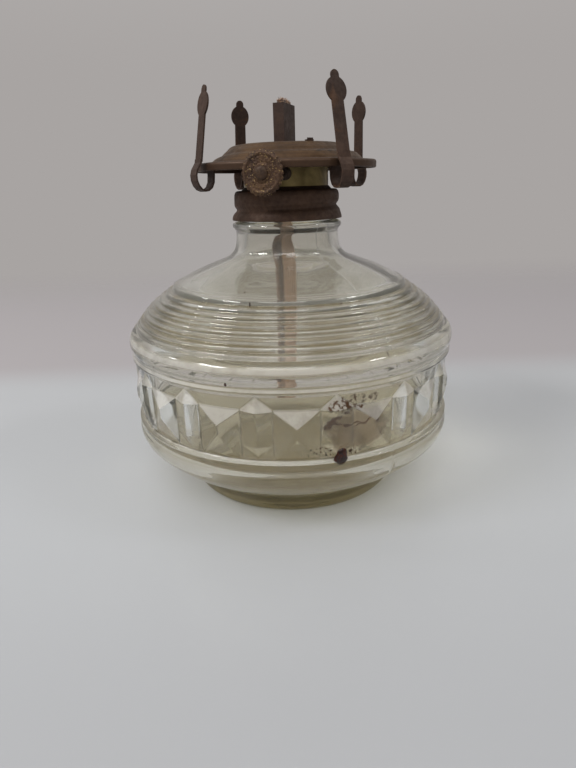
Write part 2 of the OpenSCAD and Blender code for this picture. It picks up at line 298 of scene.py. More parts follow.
def rusty(name, dark, mid, light, orange, orange_amount=0.35, scale=1.0, metal=0.25, rough=(0.5, 0.85)):
    t = Tree(name)
    big = t.noise(38 * scale, 5, 0.6)
    fine = t.noise(420 * scale, 6, 0.65)
    base = t.ramp(t.math("ADD", t.math("MULTIPLY", big, 0.6), t.math("MULTIPLY", fine, 0.4)),
                  [(0.30, dark), (0.5, mid), (0.70, light)])
    patch = t.remap(t.noise(70 * scale, 7, 0.7, dist=0.6), 0.52, 0.66, 0.0, orange_amount, True)
    col = t.mix(patch, base, orange)
    pits = t.remap(t.voronoi(900 * scale), 0.0, 0.25, 0.55, 1.0)
    col = t.mix(1.0, col, t.ramp(pits, [(0.0, grey(0.45)), (1.0, grey(1.0))]), "MULTIPLY")
    t.set(Base_Color=col, Metallic=metal, Roughness=t.remap(fine, 0.3, 0.7, rough[1], rough[0]))
    h = t.math("ADD", t.math("MULTIPLY", fine, 0.6), t.math("MULTIPLY", pits, 0.4))
    n1 = t.bump(big, 0.25, 0.0012)
    t.set(Normal=t.bump(h, 0.55, 0.00035, n1))
    return t.mat


# ------------------------------------------------------------------ materials
RUST = rusty("rust_dark", lin(40, 29, 24), lin(62, 47, 39), lin(84, 66, 52), lin(104, 68, 42), 0.35)
RUST_CAP = rusty("rust_cap", lin(54, 36, 27), lin(78, 56, 43), lin(98, 72, 55), lin(96, 66, 44), 0.35)
RUST_PRONG = rusty("rust_prong", lin(44, 30, 23), lin(64, 45, 35), lin(82, 59, 45), lin(116, 78, 46), 0.35)
TUBE = rusty("tube_soot", lin(38, 25, 20), lin(62, 43, 34), lin(82, 60, 47), lin(92, 70, 48), 0.3, rough=(0.42, 0.7))
KNOB = rusty("knob_bronze", lin(46, 30, 21), lin(76, 54, 36), lin(104, 78, 50), lin(122, 96, 60), 0.5, scale=1.3,
             metal=0.35, rough=(0.4, 0.7))


def wheel_material():
    """Dark bronze with bright golden grains scattered by a fine noise."""
    t = Tree("wheel_bronze")
    cloud = t.noise(150, 5, 0.65)
    fine = t.noise(1100, 5, 0.7)
    col = t.ramp(t.math("ADD", t.math("MULTIPLY", cloud, 0.55), t.math("MULTIPLY", fine, 0.45)),
                 [(0.34, lin(46, 29, 21)), (0.5, lin(78, 54, 36)), (0.64, lin(104, 76, 50))])
    grain = t.remap(t.noise(1500, 3, 0.6), 0.60, 0.66, 0.0, 0.8, True)
    col = t.mix(grain, col, lin(166, 138, 88))
    t.set(Base_Color=col, Metallic=0.35, Roughness=t.remap(fine, 0.3, 0.7, 0.7, 0.4))
    t.set(Normal=t.bump(fine, 0.8, 0.00035, t.bump(cloud, 0.3, 0.0008)))
    return t.mat


WHEEL = wheel_material()


def gallery_material():
    t = Tree("gallery_tarnish")
    x, y, z = t.xyz()
    rad = t.math("SQRT", t.math("ADD", t.math("MULTIPLY", x, x), t.math("MULTIPLY", y, y)))
    ringco = t.n("ShaderNodeCombineXYZ")
    t.link(rad, ringco.inputs[0])
    rings = t.noise(900, 3, 0.5, ringco.outputs[0])
    cloud = t.noise(46, 6, 0.6)
    fine = t.noise(520, 5, 0.6)
    f = t.math("ADD", t.math("ADD", t.math("MULTIPLY", rings, 0.25), t.math("MULTIPLY", cloud, 0.5)), t.math("MULTIPLY", fine, 0.25))
    col = t.ramp(f, [(0.34, lin(51, 34, 19)), (0.5, lin(79, 55, 31)), (0.66, lin(104, 76, 44))])
    dark = t.remap(t.noise(60, 8, 0.72, dist=1.2), 0.60, 0.68, 0.0, 0.65, True)
    col = t.mix(dark, col, lin(48, 36, 30))
    # painted shade: the outer rim and its flange are darkened
    rim = t.remap(rad, 0.0365, 0.0382, 0.0, 0.75, True)
    col = t.mix(rim, col, lin(68, 48, 36))
    # a chipped, blackened row along the foot of the slope, on the viewer's right
    az = t.math("ARCTAN2", x, t.math("MULTIPLY", y, -1.0))
    sector = t.math("MULTIPLY", t.remap(az, 0.28, 0.42, 0.0, 1.0, True), t.remap(az, 0.62, 0.80, 1.0, 0.0, True))
    belt = t.math("MULTIPLY", t.remap(rad, 0.0272, 0.0284, 0.0, 1.0, True), t.remap(rad, 0.0300, 0.0312, 1.0, 0.0, True))
    chips = t.remap(t.noise(330, 4, 0.7), 0.47, 0.55, 0.0, 1.0, True)
    col = t.mix(t.math("MULTIPLY", t.math("MULTIPLY", sector, belt), chips), col, lin(40, 30, 25))
    t.set(Base_Color=col, Metallic=0.45, Roughness=t.remap(fine, 0.3, 0.7, 0.62, 0.42))
    n1 = t.bump(rings, 0.10, 0.0004)
    t.set(Normal=t.bump(fine, 0.3, 0.0002, n1))
    return t.mat


def olive_material():
    t = Tree("olive_brass")
    cloud = t.noise(60, 5, 0.6, dist=0.4)
    fine = t.noise(500, 5, 0.6)
    col = t.ramp(cloud, [(0.36, lin(90, 77, 48)), (0.5, lin(132, 115, 74)), (0.64, lin(160, 141, 94))])
    spots = t.remap(t.noise(170, 3, 0.5), 0.66, 0.72, 0.0, 0.85, True)
    col = t.mix(spots, col, lin(34, 28, 18))
    t.set(Base_Color=col, Metallic=0.7, Roughness=t.remap(fine, 0.3, 0.7, 0.42, 0.28))
    t.set(Normal=t.bump(fine, 0.15, 0.0002))
    return t.mat


def rubber_material():
    t = Tree("washer_rubber")
    f = t.noise(300, 5, 0.6)
    t.set(Base_Color=t.ramp(f, [(0.3, lin(38, 28, 22)), (0.7, lin(66, 50, 38))]), Roughness=0.85,
          Normal=t.bump(f, 0.3, 0.0003))
    return t.mat


def wick_material():
    t = Tree("wick_cotton")
    x, y, z = t.xyz()
    # woven strip: long ribs with small stitches across
    a = math.radians(-20.5)
    along = t.math("ADD", t.math("MULTIPLY", x, math.sin(a)), t.math("MULTIPLY", y, -math.cos(a)))
    ribs = t.math("SINE", t.math("MULTIPLY", along, 2 * math.pi / 0.0011))
    rows = t.math("SINE", t.math("ADD", t.math("MULTIPLY", z, 2 * math.pi / 0.0012), t.math("MULTIPLY", ribs, 1.4)))
    weave = t.math("ADD", t.math("MULTIPLY", ribs, 0.5), t.math("MULTIPLY", rows, 0.5))
    cloud = t.noise(55, 5, 0.6)
    col = t.ramp(cloud, [(0.34, lin(152, 118, 98)), (0.52, lin(194, 158, 132)), (0.68, lin(216, 182, 154))])
    shade = t.ramp(t.remap(weave, -1, 1, 0, 1), [(0.0, grey(0.62)), (0.6, grey(1.0)), (1.0, grey(1.08))])
    col = t.mix(1.0, col, shade, "MULTIPLY")
    # soot and scorched fibres at the burnt tip
    tip = t.remap(t.math("ADD", z, t.math("MULTIPLY", t.noise(900, 4, 0.6), 0.0016)), 0.1648, 0.1672, 0.0, 1.0, True)
    scorch = t.ramp(t.noise(1300, 3, 0.5), [(0.40, lin(50, 34, 26)), (0.55, lin(150, 96, 54)), (0.7, lin(214, 180, 138))])
    col = t.mix(tip, col, scorch)
    # painted light: the strip is lightened inside the font's neck
    neck = t.math("MULTIPLY", t.remap(z, 0.084, 0.096, 0.0, 0.6, True), t.remap(z, 0.116, 0.121, 1.0, 0.0, True))
    col = t.mix(neck, col, lin(236, 200, 172))
    low = t.remap(z, 0.118, 0.150, 0.0, 0.55, True)
    col = t.mix(low, col, lin(70, 54, 44))
    # painted shade darkens the edge nearer the viewer; the hem is soaked
    b = math.radians(-46.0)
    edge = t.math("ADD", t.math("MULTIPLY", x, math.sin(b)), t.math("MULTIPLY", y, -math.cos(b)))
    edge = t.math("ADD", edge, t.math("MULTIPLY", t.math("SUBTRACT", t.noise(260, 4, 0.6), 0.5), 0.0022))
    edge_shade = t.math("MULTIPLY", t.remap(edge, 0.0030, 0.0042, 0.0, 0.85, True), t.remap(z, 0.108, 0.118, 1.0, 0.0, True))
    edge_shade = t.math("MULTIPLY", edge_shade, t.remap(z, 0.054, 0.078, 0.45, 1.0, True))
    col = t.mix(edge_shade, col, lin(72, 52, 40))
    hem = t.math("MULTIPLY", t.remap(z, 0.0585, 0.0550, 0.0, 1.0, True), t.remap(t.noise(420, 3, 0.6), 0.42, 0.58, 0.0, 1.0, True))
    col = t.mix(hem, col, lin(176, 128, 70))
    hook = t.remap(edge, 0.0052, 0.0062, 0.0, 0.9, True)
    col = t.mix(t.math("MULTIPLY", hook, t.remap(z, 0.060, 0.057, 0.0, 1.0, True)), col, lin(66, 44, 32))
    col = t.mix(tip, col, scorch)
    fuzz = t.noise(2400, 4, 0.6)
    t.set(Base_Color=col, Roughness=0.92)
    t.bsdf.inputs["Sheen Weight"].default_value = 0.3
    t.bsdf.inputs["Sheen Roughness"].default_value = 0.6
    t.set(Normal=t.bump(t.math("ADD", weave, t.math("MULTIPLY", fuzz, 0.8)), 0.6, 0.0002))
    return t.mat


# bottoms of the shoulder's nine grooves: radius and height
GROOVES = [(50.0, 93.3), (52.9, 90.8), (56.2, 88.5), (59.3, 86.4), (62.1, 84.2), (64.4, 82.0), (66.4, 79.7), (68.3, 77.4), (70.1, 75.1)]
# radius half way through the glass at each height: nearer the axis is the inner wall, farther out the outer one
MID_WALL = [(0, 30), (4.4, 30.1), (8, 45.5), (9.2, 47.5), (12.6, 54.9), (15.7, 59.6), (19, 63.7), (22.3, 67.1), (25.2, 69.2), (27.6, 70.3),
            (32, 70.5), (36, 69.8), (62, 69.8), (66, 70.4), (70.6, 70.7), (74.6, 68.2), (80, 63.2), (84.4, 58.2), (88.4, 52.3), (91.2, 47.7),
            (94.6, 42), (97.4, 36), (99.6, 31), (102.4, 25.5), (105.6, 22), (109.2, 20.7), (118, 20.5), (120, 19.5), (130, 19.5)]


BAR_HALF, GAP = 4.728, 0.42


def glass_material(name):
    t = Tree(name)
    x, y, z = t.xyz()
    az = t.math("ARCTAN2", x, t.math("MULTIPLY", y, -1.0))
    rad = t.math("SQRT", t.math("ADD", t.math("MULTIPLY", x, x), t.math("MULTIPLY", y, y)))
    mid = t.ramp(t.math("DIVIDE", z, 0.13), [(zz / 130.0, grey(rr / 80.0)) for zz, rr in MID_WALL])
    sep = t.n("ShaderNodeSeparateColor")
    t.link(mid, sep.inputs[0])
    inner = t.math("LESS_THAN", rad, t.math("MULTIPLY", sep.outputs[0], 0.08))
    outer = t.math("SUBTRACT", 1.0, inner)
    film = t.noise(26, 6, 0.62, dist=0.5)
    # a thin dry film: heavier on the shoulder, lighter on the band
    high = t.remap(z, 0.060, 0.078, 0.0, 1.0, True)
    amount_in = t.math("ADD", t.math("MULTIPLY", high, FILM_IN), t.remap(film, 0.40, 0.75, 0.02, 0.055))
    amount_out = t.math("ADD", t.math("MULTIPLY", high, FILM_OUT), t.remap(film, 0.45, 0.75, 0.0, 0.012))
    # dried oil on the bowl's floor and lower wall, with painted shade of the dark space under the lamp
    low = t.math("MULTIPLY", t.remap(t.math("ADD", z, t.math("MULTIPLY", t.noise(70, 4, 0.6), 0.006)), 0.034, 0.040, 1.0, 0.0, True), inner)
    # dried oil inside, on the viewer's right of the band: a thin skin with darker tide lines
    across = t.math("DIVIDE", t.math("SUBTRACT", az, 0.36), 0.17)
    level = t.math("DIVIDE", t.math("SUBTRACT", z, 0.0465), 0.0075)
    away = t.math("ADD", t.math("MULTIPLY", across, across), t.math("MULTIPLY", level, level))
    ragged = t.noise(110, 5, 0.65)
    edge = t.math("ADD", away, t.math("MULTIPLY", t.math("SUBTRACT", ragged, 0.5), 3.0))
    skin = t.math("MULTIPLY", t.remap(edge, 1.25, 0.75, 0.0, 1.0, True), inner)
    # tide lines follow the levels of a slow noise
    cells = t.math("ABSOLUTE", t.math("SUBTRACT", t.noise(62, 2, 0.45, None, 0.3), 0.5))
    cells2 = t.math("ABSOLUTE", t.math("SUBTRACT", t.noise(95, 2, 0.5, None, 0.2), 0.46))
    cells = t.math("MINIMUM", cells, t.math("MULTIPLY", cells2, 0.8))
    rings = t.math("MULTIPLY", t.remap(cells, 0.008, 0.022, 1.0, 0.0, True), t.remap(edge, 0.9, 1.3, 1.0, 0.0, True))
    upper = t.remap(z, 0.0465, 0.0485, 0.0, 1.0, True)
    tide = t.math("MULTIPLY", t.math("MULTIPLY", rings, t.remap(t.noise(75, 3, 0.6), 0.32, 0.46, 0.0, 1.0, True)), t.math("MULTIPLY", upper, inner))
    # burnt oil splashed just under the bulge, in front of that skin
    acr2 = t.math("DIVIDE", t.math("SUBTRACT", az, 0.315), 0.145)
    lev2 = t.math("DIVIDE", t.math("SUBTRACT", z, 0.0582), 0.0034)
    away2 = t.math("ADD", t.math("MULTIPLY", acr2, acr2), t.math("MULTIPLY", lev2, lev2))
    splash = t.remap(t.math("ADD", away2, t.math("MULTIPLY", t.math("SUBTRACT", t.noise(190, 4, 0.6), 0.5), 3.6)), 1.05, 0.75, 0.0, 1.0, True)
    splash = t.math("MULTIPLY", splash, t.remap(t.noise(620, 4, 0.65), 0.46, 0.56, 0.15, 1.0, True))
    splash = t.math("MULTIPLY", splash, outer)
    # grime in the shoulder's grooves, browner on the right, with painted shade in a dark line along each groove
    ribs = t.math("MULTIPLY", t.remap(z, 0.0735, 0.076, 0.0, 1.0, True), t.remap(z, 0.092, 0.094, 1.0, 0.0, True))
    brown = t.math("MULTIPLY", t.remap(az, 0.45, 1.0, 0.35, 1.0, True), t.remap(t.noise(60, 4, 0.6), 0.42, 0.65, 0.2, 1.0, True))
    stops = [(0.0, grey(0))]
    for gr, gz in sorted(GROOVES, key=lambda p: p[1]):
        f = (gz - 70.0) / 30.0
        stops += [(f - 0.030, grey(0)), (f, grey(1)), (f + 0.026, grey(0))]
    groove_mask = t.ramp(t.remap(z, 0.070, 0.100, 0.0, 1.0, True), stops)
    gsep = t.n("ShaderNodeSeparateColor")
    t.link(groove_mask, gsep.inputs[0])
    lines = t.math("MULTIPLY", t.math("MULTIPLY", gsep.outputs[0], t.remap(t.noise(60, 4, 0.6), 0.35, 0.6, 0.35, 1.0, True)), outer)
    grime_and_shade = t.math("MULTIPLY", t.math("MULTIPLY", t.math("MULTIPLY", ribs, brown), 0.14), outer)
    grime_and_shade = t.math("ADD", grime_and_shade, t.math("MULTIPLY", lines, 0.30), clamp=True)
    spots = t.remap(t.noise(430, 2, 0.5), 0.755, 0.775, 0.0, 0.75, True)
    # pale dust and painted highlight on what faces up below the shoulder: bulge, roofs of the bars and pyramids, step
    geo = t.n("ShaderNodeNewGeometry")
    nsep = t.n("ShaderNodeSeparateXYZ")
    t.link(geo.outputs["True Normal"], nsep.inputs[0])
    dust_and_highlight = t.math("MULTIPLY", t.remap(nsep.outputs[2], 0.10, 0.24, 0.0, 1.0, True), t.remap(z, 0.0725, 0.0745, 1.0, 0.0, True))
    dust_and_highlight = t.math("MULTIPLY", t.math("MULTIPLY", dust_and_highlight, outer), t.remap(t.noise(85, 5, 0.65), 0.35, 0.6, 0.7, 1.0, True))
    dust_and_highlight = t.math("MULTIPLY", dust_and_highlight, t.remap(z, 0.0355, 0.0368, 0.35, 1.0, True))
    # painted shade in the creases beside the bars and under the bulge, heavier on the viewer's left
    turn = t.math("ADD", t.math("MULTIPLY", az, 180.0 / math.pi), 22.8 + 240.0)
    beside = t.math("ABSOLUTE", t.math("SUBTRACT", t.math("MODULO", turn, 24.0), 12.0))
    crease_shade = t.remap(t.math("ABSOLUTE", t.math("SUBTRACT", beside, BAR_HALF + GAP / 2)), GAP / 2 - 0.05, GAP / 2 + 0.24, 1.0, 0.0, True)
    crease_shade = t.math("MULTIPLY", crease_shade, t.math("MULTIPLY", t.remap(z, 0.0372, 0.0390, 0.0, 1.0, True), t.remap(z, 0.0545, 0.0570, 1.0, 0.0, True)))
    level_crease = t.remap(t.math("ABSOLUTE", t.math("SUBTRACT", z, 0.0364)), 0.0002, 0.0006, 0.9, 0.0, True)
    crease_shade = t.math("MAXIMUM", crease_shade, level_crease)
    crease_shade = t.math("MULTIPLY", t.math("MULTIPLY", crease_shade, outer), t.math("MULTIPLY", t.remap(t.noise(150, 5, 0.65), 0.40, 0.60, 0.08, 1.0, True), t.remap(az, -0.15, -0.55, 0.55, 1.0, True)))
    amount = t.math("ADD", t.math("MULTIPLY", amount_in, inner), t.math("MULTIPLY", amount_out, outer))
    amount = t.math("ADD", amount, t.math("MULTIPLY", crease_shade, 0.40), clamp=True)
    # dirt on the foot ring, where the lamp is stood down, with painted shade of the dark space under the lamp
    foot = t.math("MULTIPLY", t.remap(z, 0.0075, 0.0105, 1.0, 0.0, True), outer)
    amount = t.math("ADD", amount, t.math("MULTIPLY", foot, t.remap(t.noise(50, 4, 0.6), 0.35, 0.7, 0.12, 0.28)), clamp=True)
    amount = t.math("ADD", amount, t.math("MULTIPLY", low, 0.11), clamp=True)
    amount = t.math("ADD", amount, t.math("MULTIPLY", skin, t.remap(ragged, 0.38, 0.62, 0.03, 0.24)), clamp=True)
    amount = t.math("ADD", amount, t.math("MULTIPLY", grime_and_shade, 0.5), clamp=True)
    amount = t.math("ADD", amount, t.math("MULTIPLY", tide, 0.6), clamp=True)
    amount = t.math("ADD", amount, t.math("MULTIPLY", splash, 0.6), clamp=True)
    amount = t.math("ADD", amount, t.math("MULTIPLY", spots, 0.55), clamp=True)
    amount = t.math("ADD", amount, t.math("MULTIPLY", dust_and_highlight, 0.48), clamp=True)
    trans = t.math("SUBTRACT", 1.0, amount, clamp=True)
    col = t.mix(t.remap(amount, 0.0, 0.14, 0.0, 1.0), lin(253, 253, 251), lin(226, 222, 209))
    # dried oil and painted shade on the bowl's floor
    col = t.mix(low, col, lin(182, 170, 138))
    col = t.mix(skin, col, lin(158, 140, 122))
    # grime and painted shade along the shoulder's grooves
    col = t.mix(t.remap(grime_and_shade, 0.0, 0.25, 0.0, 1.0, True), col, lin(168, 156, 126))
    # dirt and painted shade on the foot ring
    col = t.mix(foot, col, lin(138, 128, 94))
    # pale dust and painted highlight on the up-facing faces
    col = t.mix(dust_and_highlight, col, lin(238, 234, 227))
    # painted shade in the creases
    col = t.mix(crease_shade, col, lin(98, 90, 70))
    dark = t.math("ADD", tide, splash, clamp=True)
    col = t.mix(dark, col, lin(84, 60, 42))
    col = t.mix(spots, col, lin(70, 54, 38))
    # the inner wall is cloudier on the far side of the shoulder
    far = t.math("MULTIPLY", t.remap(y, -0.005, 0.020, 0.0, 1.0, True), high)
    blur = t.math("MULTIPLY", inner, t.remap(far, 0.0, 1.0, 0.03, 0.22))
    rough = t.math("ADD", t.remap(amount, 0.0, 0.4, 0.012, 0.12), blur)
    t.set(Base_Color=col, Roughness=rough, Transmission_Weight=trans, IOR=1.5)
    t.set(Normal=t.bump(t.noise(70, 3, 0.5), 0.06, 0.0007))
    # lamp light passes the glass, so that what is inside and under it is lit
    path = t.n("ShaderNodeLightPath")
    clearer = t.n("ShaderNodeBsdfTransparent")
    clearer.inputs[0].default_value = (0.79, 0.785, 0.765, 1.0)
    mixer = t.n("ShaderNodeMixShader")
    t.link(path.outputs["Is Shadow Ray"], mixer.inputs[0])
    t.link(t.bsdf.outputs[0], mixer.inputs[1])
    t.link(clearer.outputs[0], mixer.inputs[2])
    t.link(mixer.outputs[0], t.out.inputs["Surface"])
    vol = t.n("ShaderNodeVolumeAbsorption")
    vol.inputs["Color"].default_value = (0.63, 0.63, 0.46, 1.0)
    vol.inputs["Density"].default_value = GLASS_DENSITY
    t.link(vol.outputs[0], t.out.inputs["Volume"])
    return t.mat


def residue_material():
    t = Tree("oil_residue")
    f = t.noise(500, 4, 0.6)
    t.set(Base_Color=t.ramp(f, [(0.35, lin(26, 14, 10)), (0.7, lin(74, 34, 20))]), Roughness=0.18)
    return t.mat


RESIDUE = residue_material()
GALLERY = gallery_material()
OLIVE = olive_material()
RUBBER = rubber_material()
WICK = wick_material()
FILM_IN, FILM_OUT, GLASS_DENSITY = 0.045, 0.012, 16.0
GLASS = glass_material("clear_glass")

# ------------------------------------------------------------------ glass font
FONT_R, FLOOR_R = 73.4, 71.2
RIB = 1.0


def shoulder_ribs():
    pts = []
    for (r0, z0), (r1, z1) in zip(GROOVES[:-1], GROOVES[1:]):
        d = np.array([r1 - r0, z1 - z0])
        n = np.array([-d[1], d[0]]) / np.linalg.norm(d)
        for s in np.arange(0, 8) / 8.0:
            pts.append(np.array([r0, z0]) + d * s + n * RIB * math.sin(math.pi * s) ** 0.8)
    pts.append(np.array(GROOVES[-1]))
    return np.array(pts)


# columns of one 24 degree module, measured from a bar's ridge: bar, gap, half pyramid, mirrored
half = np.concatenate([np.linspace(0, BAR_HALF, 11), [BAR_HALF + GAP / 2], np.linspace(BAR_HALF + GAP, 12.0, 13)])
module = np.concatenate([half, 24.0 - half[-2:0:-1]])
FINE = np.concatenate([-10.8 + 24.0 * k + module for k in range(15)])
# plain columns every 2 degrees, closer at the three mould seams
SEAMS = (32.0, 152.0, 272.0)
COARSE = np.arange(180) * 2.0 - 10.8
for seam in SEAMS:
    COARSE = COARSE[np.abs(COARSE - seam) > 1.1]
    COARSE = np.concatenate([COARSE, seam + np.array([-1.0, -0.5, -0.2, 0.0, 0.2, 0.5, 1.0])])
COARSE = np.sort(COARSE)


def seam_height(az):
    return sum(0.20 * np.exp(-((az - seam) / 0.24) ** 2) for seam in SEAMS)


def band_radius(az, z):
    """Outer radius of the pressed band at azimuth array az and height z."""
    u = (az + 10.8 + 12.0) % 24.0 - 12.0          # from the nearest bar's ridge
    t = np.abs(np.radians(u)) * FLOOR_R           # along the wall
    hw = math.radians(BAR_HALF) * FLOOR_R
    top = 73.45
    k = (top - FLOOR_R - 0.24) / hw
    end = np.maximum(np.maximum(z - 56.3, 42.7 - z), 0.0)
    m = (top - FLOOR_R) / 5.7
    bar = np.where(t < hw * 1.001, top - k * t - m * end, FLOOR_R)
    v = 12.0 - np.abs(u)                          # from the nearest pyramid's middle
    tv = np.radians(v) * FLOOR_R
    hp = math.radians(12.0 - BAR_HALF - GAP) * FLOOR_R
    fall = np.maximum(tv / hp, max((z - 50.1) / 6.2, (46.5 - z) / 9.6, 0.0))
    pyr = np.where(fall < 1.0001, FLOOR_R + 0.14 + (73.45 - FLOOR_R - 0.14) * (1 - fall), FLOOR_R)
    return np.maximum(np.maximum(bar, pyr), FLOOR_R)


def build_font():
    L = Lathe()
    cavity = spline([(0.01, 7.6), (20, 7.65), (40, 8.1), (48, 10.6), (55, 14.2), (60.6, 18.4), (65.2, 23.0), (67.5, 27.4), (68.3, 32),
                     (68.4, 40), (68.4, 58), (68.3, 66), (67.5, 70.6), (65.2, 74.6), (60.2, 80.0), (54.6, 84.4), (48.2, 88.4), (43.0, 91.2),
                     (36.0, 94.6), (29.4, 97.4), (25.2, 99.6), (21.9, 102.4), (19.7, 105.6), (18.6, 109.2), (18.2, 113), (18.2, 128.5)], 2.0)
    finish = polyline([(18.2, 128.5), (18.5, 128.85), (19.6, 128.95), (20.5, 128.7), (20.8, 128.2), (20.8, 119.6)], 1.0)
    upper = spline([(20.8, 119.6), (21.2, 118.9), (22.6, 118.4), (23.6, 117.9), (24.0, 117.1), (23.9, 116.2), (23.2, 115.4), (22.6, 114.6),
                    (22.55, 112.6), (22.7, 110.4), (23.1, 108.2), (23.9, 106.3), (25.2, 104.8), (27.4, 103.4), (30.4, 102.2), (34.4, 100.8),
                    (39.4, 98.9), (44.2, 96.8), (47.8, 94.9), (49.2, 94.0), (50.0, 93.3)], 0.8)
    ribs = shoulder_ribs()
    bulge = spline([(70.1, 75.1), (71.2, 74.7), (72.4, 73.8), (73.4, 72.4), (73.9, 70.6), (73.9, 69.2), (73.5, 67.8), (72.9, 66.7),
                    (72.7, 65.8), (72.9, 64.9), (73.35, 64.2), (73.4, 63.6), (73.3, 63.2)], 0.55)
    bowl = spline([(73.3, 35.3), (73.35, 34.7), (73.2, 33.9), (72.9, 33.2), (72.8, 32.4), (73.2, 31.5), (73.6, 30.6), (73.6, 29.6), (73.2, 27.6),
                   (72.2, 25.2), (69.7, 22.3), (66.2, 19.0), (62.2, 15.7), (58.0, 12.6), (54.2, 10.3), (51.8, 9.2), (50.7, 8.6), (50.3, 7.6),
                   (50.1, 5.6), (49.8, 3.2), (49.4, 1.3), (48.7, 0.35), (47.6, 0.0), (45.0, 0.0), (42.6, 0.1), (41.4, 0.9), (40.4, 1.4)], 0.9)
    under = spline([(40.4, 1.4), (30, 1.5), (15, 1.55), (0.01, 1.55)], 5.0)

    idx = [L.pole(7.6)]
    kinds = []

    def add(points, fine=False, mat=0, wavy=None):
        for r, z in points:
            az = FINE if fine else COARSE
            rr = np.full(len(az), r)
            if wavy is not None:
                rr = rr + wavy(az, z)
            elif mat == 0 and r > 22.0 and z > 8.0:
                rr = rr + seam_height(az)
            idx.append(L.ring(az, rr, z))
            kinds.append(mat)

    def inner_wave(az, z):
        a = np.radians(az)
        env = np.clip((z - 10) / 20, 0, 1) * np.clip((112 - z) / 20, 0, 1)
        return env * (0.22 * np.sin(3 * a + 0.6 + z * 0.05) + 0.16 * np.sin(7 * a + 2.0 - z * 0.09) + 0.10 * np.sin(15 * np.radians(az + 10.8)))

    add(cavity[1:], mat=1, wavy=inner_wave)
    add(finish[1:-1])
    add(upper)
    add(ribs[1:-1])
    add(bulge)
    # upper step down to the recessed floor, the band, lower step
    zs = np.concatenate([[63.0, 62.75, 62.4, 62.0], np.linspace(61.5, 57.0, 10), np.linspace(56.3, 50.1, 13),
                         [49.2, 48.3, 47.4], np.linspace(46.5, 36.9, 25), [36.5, 36.2, 35.95, 35.65, 35.4]])
    for z in zs:
        r = band_radius(FINE, z)
        up = np.clip((z - 62.0) / 1.1, 0, 1) ** 0.7
        dn = np.clip((36.2 - z) / 0.9, 0, 1) ** 0.7
        edge = np.maximum(up, dn)
        r = np.maximum(r, FLOOR_R + (73.25 - FLOOR_R) * edge)
        idx.append(L.ring(FINE, r, z))
        kinds.append(0)
    add(bowl)
    add(under[1:-1])
    idx.append(L.pole(1.55))
    kinds.append(0)
    for k in range(len(idx) - 1):
        L.join(idx[k], idx[k + 1], kinds[k])
    # one closed skin; normals point out of the glass
    return make("font_glass", L.v, [tuple(reversed(x)) for x in L.f], GLASS, "font", ("glass_font",))


font = build_font()

# ------------------------------------------------------------------ screw cap with its rolled thread
AZ3 = np.arange(0, 360, 2.0)


def cap_base(z):
    zz = [119.3, 119.7, 120.3, 121.2, 122.4, 123.6, 125.0, 126.5, 128.0, 129.2, 130.0]
    rr = [24.12, 24.15, 24.05, 23.75, 23.35, 23.1, 22.95, 22.9, 22.9, 22.82, 22.66]
    return np.interp(z, zz, rr)


def groove(az, z):
    """Depth of the rolled thread at azimuth az (degrees, -180..180) and height z."""
    a = (np.asarray(az) + 180.0) % 360.0 - 180.0
    d = np.zeros_like(a)
    for turn in (-1, 0, 1):
        b = a + 360.0 * turn
        fade = np.clip((205.0 - np.abs(b)) / 40.0, 0, 1)
        zg = 124.1 + 3.3 * b / 360.0
        d = np.maximum(d, fade * 1.22 * np.exp(-((z - zg) / 1.2) ** 2))
    return d


def build_cap():
    L = Lathe()
    idx = []
    dent = lambda az, z: 0.09 * np.sin(np.radians(az) * 5 + 1.0) + 0.07 * np.sin(np.radians(az) * 11 + z * 0.7)
    # inside, from the top hole out and down, then the hem, then outside up
    idx.append(L.ring(AZ3, 18.42, 130.85))
    idx.append(L.ring(AZ3, 20.6, 130.85))
    idx.append(L.ring(AZ3, 21.3, 130.75))
    idx.append(L.ring(AZ3, 21.9, 130.2))
    for z in np.linspace(129.6, 119.7, 30):
        idx.append(L.ring(AZ3, cap_base(z) - 0.5 - groove(AZ3, z) + dent(AZ3, z) * 0.5, z))
    idx.append(L.ring(AZ3, 23.75 + dent(AZ3, 119) * 0.5, 119.35))
    idx.append(L.ring(AZ3, 24.1 + dent(AZ3, 119) * 0.5, 119.32))
    for z in np.linspace(119.6, 129.7, 34):
        idx.append(L.ring(AZ3, cap_base(z) - groove(AZ3, z) + dent(AZ3, z) * 0.5, z))
    idx.append(L.ring(AZ3, 22.5, 130.35))
    idx.append(L.ring(AZ3, 22.15, 130.85))
    idx.append(L.ring(AZ3, 21.5, 131.2))
    idx.append(L.ring(AZ3, 20.6, 131.3))
    idx.append(L.ring(AZ3, 18.42, 131.3))
    idx.append(idx[0])
    for a, b in zip(idx[:-1], idx[1:]):
        L.join(a, b)
    return make("screw_cap_rolled", L.v, L.f, RUST_CAP, "burner", ("screw_cap",))


cap = build_cap()


def lathe_ring(name, profile, mat, body, replaces, step=0.5, cols=180, wave=None, smooth=True):
    """A closed ring of revolution from a closed profile (r, z), anticlockwise seen with r to the right and z up."""
    L = Lathe()
    az = np.arange(cols) * 360.0 / cols
    p = np.asarray(profile, float)
    p = spline(np.vstack([p, p[:1]]), step)[:-1] if smooth else polyline(np.vstack([p, p[:1]]), step)[:-1]
    idx = []
    for r, z in p:
        w = wave(az, r, z) if wave else (0.0, 0.0)
        idx.append(L.ring(az, r + w[0], z + w[1]))
    idx.append(idx[0])
    for a, b in zip(idx[:-1], idx[1:]):
        L.join(a, b)
    area = 0.5 * sum(a[0] * b[1] - b[0] * a[1] for a, b in zip(p, np.roll(p, -1, 0)))
    f = L.f if area > 0 else [tuple(reversed(x)) for x in L.f]
    return make(name, L.v, f, mat, body, replaces)


